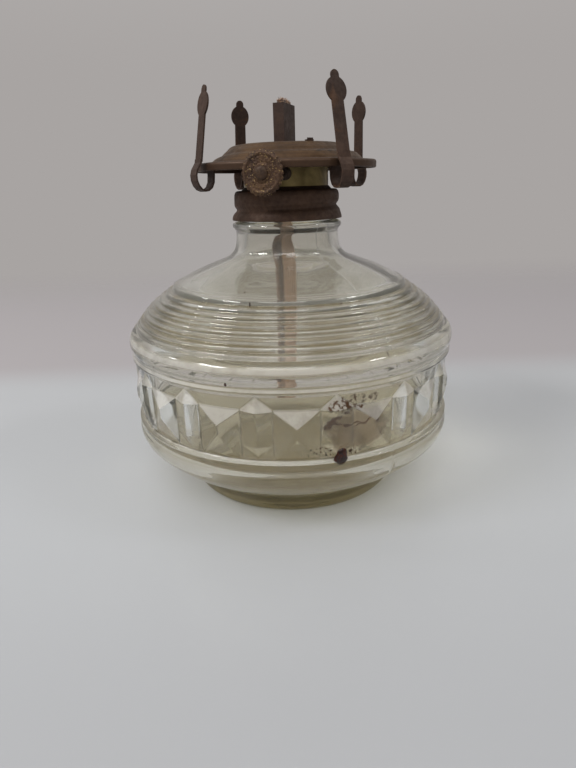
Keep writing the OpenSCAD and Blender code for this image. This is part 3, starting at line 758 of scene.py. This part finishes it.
# ------------------------------------------------------------------ gallery
def gallery_wave(az, r, z):
    a = np.radians(az)
    k = np.clip((r - 24) / 14, 0, 1)
    left = np.exp(-((((az + 92) + 180.0) % 360.0 - 180.0) / 36.0) ** 2)
    dent = -1.7 * left * np.sin(math.pi * np.clip((r - 21.5) / 15.5, 0, 1))
    return (0.05 * k * np.sin(3 * a + 1.1), 0.07 * k * np.sin(4 * a + 0.4) + 0.04 * k * np.sin(9 * a + 2.0) + dent)


gallery = lathe_ring("gallery_stepped", [
    (15.4, 148.3), (18.4, 148.3), (21.4, 148.32), (22.3, 148.45), (23.1, 148.36), (23.8, 148.03), (24.7, 147.42), (25.7, 146.78),
    (26.4, 146.26), (27.1, 145.6), (28.0, 145.12), (29.2, 144.93), (30.0, 144.6), (30.6, 144.1), (31.3, 143.45), (32.0, 142.7),
    (32.5, 142.05), (33.1, 141.72), (35.4, 141.7), (37.3, 141.68), (37.85, 141.45), (38.05, 141.0), (38.05, 140.1), (38.08, 139.3),
    (38.3, 139.12), (38.55, 139.3), (38.6, 140.3), (38.6, 141.5), (38.3, 142.05), (37.6, 142.3), (35.6, 142.32), (33.5, 142.32),
    (33.0, 142.52), (32.5, 143.1), (31.8, 143.9), (31.0, 144.6), (30.4, 145.1), (29.6, 145.48), (28.3, 145.7), (27.5, 146.1), (26.8, 146.8),
    (26.0, 147.4), (25.0, 148.0), (24.2, 148.58), (23.4, 148.96), (22.4, 149.1), (21.3, 148.95), (18.4, 148.92), (15.4, 148.9),
    (15.3, 148.6)], GALLERY, "burner", ("gallery_plate",), 0.45, 200, gallery_wave)


# ------------------------------------------------------------------ thumbwheel and its rivet
RAISER_AZ = math.radians(-20.5)
RA_X = np.array([math.cos(RAISER_AZ), math.sin(RAISER_AZ), 0.0])
RA_Z = np.array([math.sin(RAISER_AZ), -math.cos(RAISER_AZ), 0.0])
RA_O = RA_X * 5.9 + np.array([0, 0, 137.5])


def on_raiser(p):
    """Points (x, y, s) in the raiser's frame, mm, to metres in the lamp's frame."""
    p = np.asarray(p, float)
    return (RA_O + p[:, :1] * RA_X + p[:, 1:2] * np.array([0, 0, 1.0]) + p[:, 2:3] * RA_Z) * MM


def build_wheel():
    n_ser, per = 26, 14
    n = n_ser * per
    th = np.arange(n) * 2 * math.pi / n
    saw = np.abs(((th * n_ser / (2 * math.pi)) % 1.0) - 0.5) * 2          # 1 on a tooth, 0 in a notch
    which = (th * n_ser / (2 * math.pi)).astype(int) % n_ser
    worn_tooth = RNG.uniform(0.55, 1.0, n_ser)[which]
    tooth = np.clip((saw - 0.12) / 0.5, 0, 1) * worn_tooth + (1 - worn_tooth) * 0.55
    strokes = [(RNG.uniform(0, 2 * math.pi), *sorted(RNG.uniform(3.9, 6.05, 2)), RNG.uniform(0.14, 0.34)) for k in range(34)]
    wear = RNG.normal(0, 1, (64, 64))

    def worn(r, a):
        i = (a / (2 * math.pi) * 63).astype(int) % 64
        j = int(r * 7) % 64
        return wear[i, j]

    front = [(1.29, 40.98), (1.8, 41.08), (2.5, 41.09), (3.05, 41.06), (3.3, 40.9), (3.5, 40.70), (3.72, 40.68), (3.95, 40.74), (4.2, 40.75),
             (4.45, 40.75), (4.7, 40.75), (4.95, 40.75), (5.2, 40.75), (5.45, 40.75), (5.7, 40.75), (5.95, 40.76), (6.15, 40.80), (6.35, 40.92),
             (6.6, 41.04), (6.85, 41.07), (7.1, 41.02), (7.3, 40.90), (7.5, 40.74), (7.7, 40.62)]
    pts, rows = [], []
    for r, s_ in front:
        bump = np.zeros(n)
        if 3.8 < r < 6.05:
            for a0, r0, r1, w in strokes:
                d = np.abs((th - a0 + math.pi) % (2 * math.pi) - math.pi) * r
                inside = 1.0 if r0 <= r <= r1 else 0.0
                bump = np.maximum(bump, inside * np.clip(1.5 - d / w, 0, 1) * 0.2)
        jitter = 0.05 * worn(r, th) * (1 if r > 3.0 else 0.3)
        rows.append(len(pts))
        pts += list(zip(r * np.cos(th), r * np.sin(th), s_ + bump + jitter))
    for r_out, r_in, s_ in ((8.0, 7.72, 40.56), (8.3, 7.74, 40.42), (8.32, 7.75, 40.2), (8.3, 7.74, 39.98), (8.05, 7.7, 39.85), (7.7, 7.6, 39.8)):
        r = r_in + (r_out - r_in) * tooth
        rows.append(len(pts))
        pts += list(zip(r * np.cos(th), r * np.sin(th), np.full(n, s_)))
    for r, s_ in ((7.2, 39.76), (6.6, 39.62), (5.0, 39.6), (3.0, 39.6), (2.6, 39.52), (1.29, 39.52)):
        rows.append(len(pts))
        pts += list(zip(r * np.cos(th), r * np.sin(th), np.full(n, s_)))
    faces = []
    for a_, b_ in zip(rows, rows[1:] + rows[:1]):
        faces += [(a_ + k, b_ + k, b_ + (k + 1) % n, a_ + (k + 1) % n) for k in range(n)]
    return make("thumbwheel_worn", on_raiser(pts), faces, WHEEL, "raiser", ("thumbwheel",))


wheel = build_wheel()


def build_rivet():
    n = 64
    th = np.arange(n) * 2 * math.pi / n
    prof = [(2.5, 41.12), (2.58, 41.25), (2.54, 41.42), (2.36, 41.66), (2.05, 41.88), (1.65, 42.04), (1.2, 42.14), (0.65, 42.19)]
    pts, rows = [(0.0, 0.0, 41.12)], []
    for r, s_ in [(1.2, 41.12)] + prof:
        rows.append(len(pts))
        w = 0.02 * np.sin(th * 5 + r * 3) + 0.015 * np.sin(th * 9 + 1.0)
        pts += list(zip(r * np.cos(th), r * np.sin(th), s_ + w * (1 if s_ > 41.2 else 0)))
    pts.append((0.0, 0.0, 42.2))
    top = len(pts) - 1
    faces = [(0, rows[0] + (k + 1) % n, rows[0] + k) for k in range(n)]
    for a_, b_ in zip(rows[:-1], rows[1:]):
        faces += [(a_ + k, a_ + (k + 1) % n, b_ + (k + 1) % n, b_ + k) for k in range(n)]
    faces += [(rows[-1] + k, rows[-1] + (k + 1) % n, top) for k in range(n)]
    return make("wheel_rivet_domed", on_raiser(pts), faces, KNOB, "raiser", ("thumbwheel_rivet",))


rivet = build_rivet()


# ------------------------------------------------------------------ wick, a woven strip
def build_wick():
    hw, ht = 6.02, 1.24
    # section, anticlockwise seen from above: s along the width, t across the thickness
    side_n, end_n = 44, 6
    sec = []
    for k in range(side_n):
        f = (k + 0.5) / side_n
        sec.append((-hw + 0.9 + f * (2 * hw - 1.8), -ht, 0, -1))
    for k in range(end_n):
        a = -math.pi / 2 + math.pi * (k + 0.5) / end_n
        sec.append((hw - 0.9 + 0.9 * math.cos(a), ht * math.sin(a), math.cos(a), math.sin(a)))
    for k in range(side_n):
        f = (k + 0.5) / side_n
        sec.append((hw - 0.9 - f * (2 * hw - 1.8), ht, 0, 1))
    for k in range(end_n):
        a = math.pi / 2 + math.pi * (k + 0.5) / end_n
        sec.append((-hw + 0.9 + 0.9 * math.cos(a), ht * math.sin(a), math.cos(a), math.sin(a)))
    sec = np.array(sec)
    n = len(sec)
    zs = np.concatenate([np.arange(52.0, 119.0, 0.6), np.arange(119.0, 164.4, 0.9), np.arange(164.4, 165.9, 0.25)])
    rib = np.cos(sec[:, 0] * 2 * math.pi / 1.12) * np.abs(sec[:, 3])
    fray = np.interp(np.arange(n), np.arange(0, n + 4, 4), RNG.uniform(-0.5, 0.5, len(np.arange(0, n + 4, 4))))
    char = np.interp(np.arange(n), np.arange(0, n + 3, 3), RNG.uniform(-0.35, 0.45, len(np.arange(0, n + 3, 3))))
    char += 0.5 * np.exp(-((sec[:, 0] + 1.0) / 2.2) ** 2)
    pts, rows = [], []
    for z in zs:
        twist = np.clip((z - 105.5) / 11.0, 0, 1)
        twist = twist * twist * (3 - 2 * twist)
        a = math.radians(-46.0 + 25.5 * twist)
        d = np.array([math.sin(a), -math.cos(a)])
        c = np.array([math.cos(a), math.sin(a)])
        weave = 0.10 * rib + 0.05 * np.sin(z * 2 * math.pi / 1.2 + np.where(rib > 0, 0, math.pi))
        loose = 1.0 - 0.04 * (z > 121)
        # below the neck the strip waves a little
        free = np.clip((112.0 - z) / 20.0, 0, 1) * np.clip((z - 44) / 10 + 0.4, 0, 1)
        off = 0.55 * free * math.sin(z * 0.11) + 0.25 * free * math.sin(z * 0.29 + 1.0)
        clear = np.clip((117.0 - z) / 7.0, 0, 1)
        bend = (-0.8 * math.exp(-((z - 110.0) / 6.5) ** 2) - 1.5) * clear * clear * (3 - 2 * clear)
        s_ = (sec[:, 0] + weave * sec[:, 2]) * loose
        t_ = (sec[:, 1] + weave * sec[:, 3]) * loose + off
        zz = np.full(n, z)
        low = np.clip((54.3 - z) / 2.3, 0, 1)
        zz = zz + fray * low
        t_ = t_ * (1 + 0.12 * low)
        high = np.clip((z - 164.4) / 1.2, 0, 1)
        zz = zz + char * high
        rows.append(len(pts))
        pts += list(zip(bend + s_ * d[0] + t_ * c[0], s_ * d[1] + t_ * c[1], zz))
    pts = np.array(pts)
    faces = []
    # with the width along d and the thickness along c, the section runs clockwise seen from above
    for a_, b_ in zip(rows[:-1], rows[1:]):
        faces += [(a_ + k, b_ + k, b_ + (k + 1) % n, a_ + (k + 1) % n) for k in range(n)]
    # ends: strips across the thickness, a little hollow
    verts = [tuple(p) for p in pts]

    def cap(row, sign):
        # a hollow middle line joined to both wide faces, and a fan at each rounded edge
        ring = [row + k for k in range(n)]
        over = [ring[2 * side_n + end_n - 1 - k] for k in range(side_n)]
        m0 = len(verts)
        for k in range(side_n):
            c_ = (pts[ring[k]] + pts[over[k]]) / 2
            verts.append((c_[0], c_[1], c_[2] + sign * RNG.uniform(-0.15, 0.35)))
        f = []
        for k in range(side_n - 1):
            f.append((ring[k], ring[k + 1], m0 + k + 1, m0 + k))
            f.append((over[k + 1], over[k], m0 + k, m0 + k + 1))
        right = ring[side_n - 1:side_n + end_n + 1]
        left = ring[2 * side_n + end_n - 1:] + [ring[0]]
        f += [(u, v, m0 + side_n - 1) for u, v in zip(right[:-1], right[1:])]
        f += [(u, v, m0) for u, v in zip(left[:-1], left[1:])]
        return f

    faces += cap(rows[0], -1) + [tuple(reversed(x)) for x in cap(rows[-1], 1)]
    faces = [tuple(reversed(x)) for x in faces]
    return make("wick_woven", np.array(verts) * MM, faces, WICK, "wick", ("wick",))


wick = build_wick()


def tube_along(path, radii, cols=7):
    """Vertices and faces of a thin closed tube along a 3-D path, in mm."""
    path = np.asarray(path, float)
    n = len(path)
    tan = np.gradient(path, axis=0)
    tan /= np.linalg.norm(tan, axis=1)[:, None]
    ref = np.array([0.31, 0.87, 0.39])
    v, f = [], []
    for i in range(n):
        a = np.cross(tan[i], ref)
        a /= np.linalg.norm(a)
        b = np.cross(tan[i], a)
        for k in range(cols):
            w = 2 * math.pi * k / cols
            v.append(path[i] + radii[i] * (math.cos(w) * a + math.sin(w) * b))
    for i in range(n - 1):
        for k in range(cols):
            k2 = (k + 1) % cols
            f.append((i * cols + k, i * cols + k2, (i + 1) * cols + k2, (i + 1) * cols + k))
    v.append(path[0] - tan[0] * radii[0] * 0.5)
    v.append(path[-1] + tan[-1] * radii[-1] * 0.5)
    for k in range(cols):
        k2 = (k + 1) % cols
        f.append((n * cols, k2, k))
        f.append((n * cols + 1, (n - 1) * cols + k, (n - 1) * cols + k2))
    return v, f


def build_threads():
    """Loose cotton ends: singed ones at the flame end, long ones under the strip."""
    v, f = [], []
    a = math.radians(-20.5)
    d, c = np.array([math.sin(a), -math.cos(a), 0]), np.array([math.cos(a), math.sin(a), 0])
    for k in range(90):
        s_, t_ = RNG.uniform(-5.4, 5.4), RNG.uniform(-0.9, 0.9)
        if abs(s_) > 3.8 and RNG.uniform() < 0.5:
            continue
        length = RNG.uniform(0.7, 1.7)
        p0 = d * s_ + c * t_ + np.array([0, 0, 165.4])
        lean = d * np.clip(RNG.normal(0, 0.5), -0.6, 0.6) + c * np.clip(RNG.normal(0, 0.45), -0.7, 0.7)
        path = [p0 + np.array([0, 0, length * u]) + lean * u * u for u in np.linspace(0, 1, 5)]
        tv, tf = tube_along(path, np.linspace(0.10, 0.05, 5), 5)
        f += [tuple(i + len(v) for i in x) for x in tf]
        v += tv
    a = math.radians(-48.5)
    d, c = np.array([math.sin(a), -math.cos(a), 0]), np.array([math.cos(a), math.sin(a), 0])

    def strand(path, radii, cols=7):
        nonlocal v, f
        tv, tf = tube_along(path, radii, cols)
        f += [tuple(i + len(v) for i in x) for x in tf]
        v += tv

    for k in range(46):
        s_, t_ = RNG.uniform(-5.7, 5.7), RNG.uniform(-1.0, 1.0)
        length = RNG.uniform(0.6, 2.2)
        p0 = d * s_ + c * t_ + np.array([-1.5, 0, 53.2])
        lean = d * RNG.normal(0, 0.6) + c * RNG.normal(0, 0.6)
        strand([p0 - np.array([0, 0, length * u * (1 - 0.25 * u)]) + lean * u * u for u in np.linspace(0, 1, 5)], np.linspace(0.13, 0.07, 5), 5)
    # the hem: a hook of matted cotton to the left and short rolled tufts at the end
    for k in range(5):
        p0 = d * (4.2 + 0.5 * k) + c * RNG.uniform(-0.5, 0.5) + np.array([-1.5, 0, 53.4 + 0.3 * k])
        reach = 3.6 + 0.5 * k
        path = [p0 + np.array([-reach * u, -0.8 * u, -2.2 * math.sin(math.pi * u * 0.8) + 0.9 * u * u]) for u in np.linspace(0, 1, 12)]
        strand(path, np.interp(np.linspace(0, 1, 12), [0, 0.4, 1], [0.55, 0.42, 0.12]))
    for k in range(9):
        p0 = d * RNG.uniform(-4.8, 4.8) + c * RNG.uniform(0.9, 1.5) + np.array([-1.5, 0, RNG.uniform(52.6, 57.5)])
        roll = RNG.uniform(0.7, 1.5)
        path = [p0 + d * roll * (u - 0.5) + np.array([0, 0, 0.35 * math.sin(5 * u + k)]) for u in np.linspace(0, 1, 9)]
        strand(path, 0.62 * np.sqrt(np.clip(np.sin(math.pi * np.linspace(0.06, 0.94, 9)), 0.04, 1)))
    # knots where the old stitching has come undone
    for z_, sx in ((97.0, -4.6), (94.6, -4.9), (101.5, 4.6), (99.0, 4.9), (91.0, -4.3)):
        p0 = d * -sx + c * 0.6 + np.array([-1.5, 0, z_])
        path = [p0 + np.array([0.3 * math.sin(4 * u), 0, 2.2 * (u - 0.5)]) for u in np.linspace(0, 1, 9)]
        strand(path, 0.8 * np.sqrt(np.clip(np.sin(math.pi * np.linspace(0.06, 0.94, 9)), 0.04, 1)))
    return make("wick_threads", np.array(v) * MM, f, WICK, "wick", ())


threads = build_threads()


# ------------------------------------------------------------------ residue and specks
def lump(az, r, z, size, seed, seg=20):
    """A rounded, uneven lump on a wall at azimuth az, radius r, height z; size is (along, up, out) half-extents."""
    g = np.random.default_rng(seed)
    a = math.radians(az)
    o = np.array([math.sin(a), -math.cos(a), 0.0])
    t_ = np.array([math.cos(a), math.sin(a), 0.0])
    ph = g.uniform(0, 6.28, 6)
    v, f = [], []
    rows = seg // 2
    for i in range(1, rows):
        el = math.pi * i / rows
        for k in range(seg):
            w = 2 * math.pi * k / seg
            q = np.array([math.sin(el) * math.cos(w), math.sin(el) * math.sin(w), math.cos(el)])
            m_ = 1 + 0.14 * math.sin(2 * w + ph[0]) * math.sin(el) + 0.10 * math.sin(3 * w + ph[1]) * math.sin(el) + 0.05 * math.sin(5 * w + ph[2] + el)
            v.append(np.array([0, 0, z]) + o * (r + q[2] * size[2]) + t_ * q[0] * size[0] * m_ + np.array([0, 0, 1]) * q[1] * size[1] * m_)
    n0 = len(v)
    v.append(np.array([0, 0, z]) + o * (r + size[2]))
    v.append(np.array([0, 0, z]) + o * (r - size[2]))
    for i in range(rows - 2):
        for k in range(seg):
            k2 = (k + 1) % seg
            f.append((i * seg + k, (i + 1) * seg + k, (i + 1) * seg + k2, i * seg + k2))
    for k in range(seg):
        k2 = (k + 1) % seg
        f.append((n0, k, k2))
        f.append((n0 + 1, (rows - 2) * seg + k2, (rows - 2) * seg + k))
    return v, f


def build_lumps(name, rows, mat):
    v, f = [], []
    for k, (az, r, z, size) in enumerate(rows):
        lv, lf = lump(az, r, z, size, 100 + k)
        f += [tuple(i + len(v) for i in x) for x in lf]
        v += lv
    return make(name, np.array(v) * MM, f, mat, "font", ())


# one dried drop of oil at the band's foot, with spatter round it
DROP = [(14.2, 72.55, 37.2, (2.9, 3.0, 1.05)),
        (17.6, 71.2, 38.4, (0.8, 0.55, 0.4)), (11.4, 71.2, 39.8, (0.35, 0.5, 0.3))]
for k in range(34):
    side = -1 if k % 3 else 1
    DROP.append((14.0 + side * (2.6 + RNG.exponential(3.2)), 71.25, 36.9 + RNG.uniform(0.2, 4.6) * (1 if side < 0 else 0.6),
                 (RNG.uniform(0.12, 0.34), RNG.uniform(0.12, 0.40), 0.16)))
residue = build_lumps("oil_residue", DROP, RESIDUE)
specks = build_lumps("glass_specks", [
    (-19.1, 72.9, 66.7, (0.55, 0.75, 0.18)), (-16.2, 53.2, 91.6, (0.35, 0.9, 0.16)), (-20.8, 47.9, 95.1, (0.3, 0.3, 0.14)),
    (21.0, 54.2, 90.9, (0.35, 0.45, 0.16)), (35.3, 71.25, 60.4, (0.4, 0.35, 0.15)), (9.5, 71.25, 48.6, (0.3, 0.3, 0.12)),
    (27.4, 71.25, 43.8, (0.35, 0.4, 0.14)), (8.0, 71.3, 41.0, (0.25, 0.5, 0.12)), (-47.0, 73.6, 67.9, (0.3, 0.3, 0.12))], RESIDUE)

NODE_MATS = {
    "neck_washer": RUBBER, "cap_solder_ring": RUST, "burner_can": OLIVE, "can_floor": OLIVE, "air_plate": GALLERY,
    "deflector_catch": TUBE, "near_bushing": RUST, "far_bushing": RUST, "prong_rivets": RUST_PRONG, "wick_spindle": KNOB,
    "spur_wheel_near": KNOB, "spur_wheel_far": KNOB, "thumbwheel_rivet": KNOB, "wick_tube": TUBE,
    "screw_cap": RUST_CAP, "gallery_plate": GALLERY, "thumbwheel": KNOB, "wick": WICK, "glass_font": GLASS,
    "prong_front_right": RUST_PRONG, "prong_front_left": RUST_PRONG, "prong_back_right": RUST_PRONG, "prong_back_left": RUST_PRONG,
}
for node, mat in NODE_MATS.items():
    o = NODES[node]
    if not o.material_slots:
        o.data.materials.append(mat)
    for s in o.material_slots:
        s.material = mat

# ------------------------------------------------------------------ stage and light
def stage_floor():
    me = bpy.data.meshes.new("table_top")
    me.from_pydata([(-6, -6, 0), (6, -6, 0), (6, 6, 0), (-6, 6, 0)], [], [(0, 1, 2, 3)])
    t = Tree("table_paint")
    x, y, z = t.xyz()
    far = t.remap(t.math("ADD", y, t.math("MULTIPLY", t.noise(3, 2), 0.02)), 0.118, 0.185, 0.0, 1.0, True)
    soft = t.noise(2.2, 3, 0.5)
    near = t.ramp(soft, [(0.35, lin(185, 187, 190)), (0.65, lin(191, 193, 196))])
    wall = lin(174, 169, 171)
    # painted shade: the table darkens towards the front
    near = t.mix(t.remap(y, -0.16, -0.05, 0.8, 0.0, True), near, lin(177, 178, 181))
    t.set(Base_Color=t.mix(far, near, wall), Roughness=t.remap(far, 0, 1, 0.35, 0.9))
    t.set(Normal=t.bump(t.noise(160, 4), 0.04, 0.0004))
    away = t.remap(y, 0.33, 0.75, 0.0, 1.0, True)
    clearer = t.n("ShaderNodeBsdfTransparent")
    mixer = t.n("ShaderNodeMixShader")
    t.link(away, mixer.inputs[0])
    t.link(t.bsdf.outputs[0], mixer.inputs[1])
    t.link(clearer.outputs[0], mixer.inputs[2])
    t.link(mixer.outputs[0], t.out.inputs["Surface"])
    me.materials.append(t.mat)
    o = bpy.data.objects.new("table_top", me)
    bpy.context.scene.collection.objects.link(o)


stage_floor()

world = bpy.data.worlds.new("studio")
bpy.context.scene.world = world
world.use_nodes = True
wn = world.node_tree
wn.nodes.clear()
wo = wn.nodes.new("ShaderNodeOutputWorld")
bg = wn.nodes.new("ShaderNodeBackground")
tc = wn.nodes.new("ShaderNodeTexCoord")
sep = wn.nodes.new("ShaderNodeSeparateXYZ")
wn.links.new(tc.outputs["Generated"], sep.inputs[0])
up = wn.nodes.new("ShaderNodeMapRange")
up.interpolation_type = "SMOOTHSTEP"
up.inputs["From Min"].default_value = 0.15
up.inputs["From Max"].default_value = 0.75
wn.links.new(sep.outputs[2], up.inputs["Value"])
back = wn.nodes.new("ShaderNodeMapRange")
back.interpolation_type = "SMOOTHSTEP"
back.inputs["From Min"].default_value = -0.8
back.inputs["From Max"].default_value = 0.3
wn.links.new(sep.outputs[1], back.inputs["Value"])
m1 = wn.nodes.new("ShaderNodeMix")
m1.data_type = "RGBA"
m1.inputs[6].default_value = (0.22, 0.215, 0.205, 1)
m1.inputs[7].default_value = (0.392, 0.371, 0.362, 1)
wn.links.new(back.outputs["Result"], m1.inputs[0])
m2 = wn.nodes.new("ShaderNodeMix")
m2.data_type = "RGBA"
m2.inputs[7].default_value = (0.59, 0.586, 0.578, 1)
wn.links.new(up.outputs["Result"], m2.inputs[0])
side = wn.nodes.new("ShaderNodeMath")
side.operation = "ABSOLUTE"
wn.links.new(sep.outputs[0], side.inputs[0])
flag = wn.nodes.new("ShaderNodeMapRange")
flag.interpolation_type = "SMOOTHSTEP"
flag.inputs["From Min"].default_value = 0.62
flag.inputs["From Max"].default_value = 0.92
wn.links.new(side.outputs[0], flag.inputs["Value"])
m3 = wn.nodes.new("ShaderNodeMix")
m3.data_type = "RGBA"
m3.inputs[7].default_value = (0.18, 0.176, 0.17, 1)
wn.links.new(flag.outputs["Result"], m3.inputs[0])
wn.links.new(m1.outputs[2], m3.inputs[6])
wn.links.new(m3.outputs[2], m2.inputs[6])
wn.links.new(m2.outputs[2], bg.inputs["Color"])
bg.inputs["Strength"].default_value = 1.0
wn.links.new(bg.outputs[0], wo.inputs["Surface"])


def area(name, az, el, dist, sx, sy, power, colour=(1, 1, 1)):
    l = bpy.data.lights.new(name, "AREA")
    l.shape = "RECTANGLE"
    l.size, l.size_y = sx, sy
    l.energy = power
    l.color = colour
    o = bpy.data.objects.new(name, l)
    bpy.context.scene.collection.objects.link(o)
    a, e = math.radians(az), math.radians(el)
    back_ = Vector((math.sin(a) * math.cos(e), -math.cos(a) * math.cos(e), math.sin(e)))
    o.location = Vector((0, 0, 0.08)) + back_ * dist
    o.rotation_mode = "QUATERNION"
    o.rotation_quaternion = (-back_).to_track_quat("-Z", "Y")
    return o


area("window_left", -66, 42, 1.6, 0.50, 0.20, 8.6, (1.0, 0.995, 0.985))
area("softbox", -10, 56, 1.6, 1.0, 0.6, 6.6, (1.0, 0.995, 0.985))
area("window_far_left", -98, 34, 1.6, 0.16, 0.12, 1.2, (1.0, 0.99, 0.97))
area("window_right", 76, 46, 1.6, 0.30, 0.14, 2.4, (0.98, 0.99, 1.0))
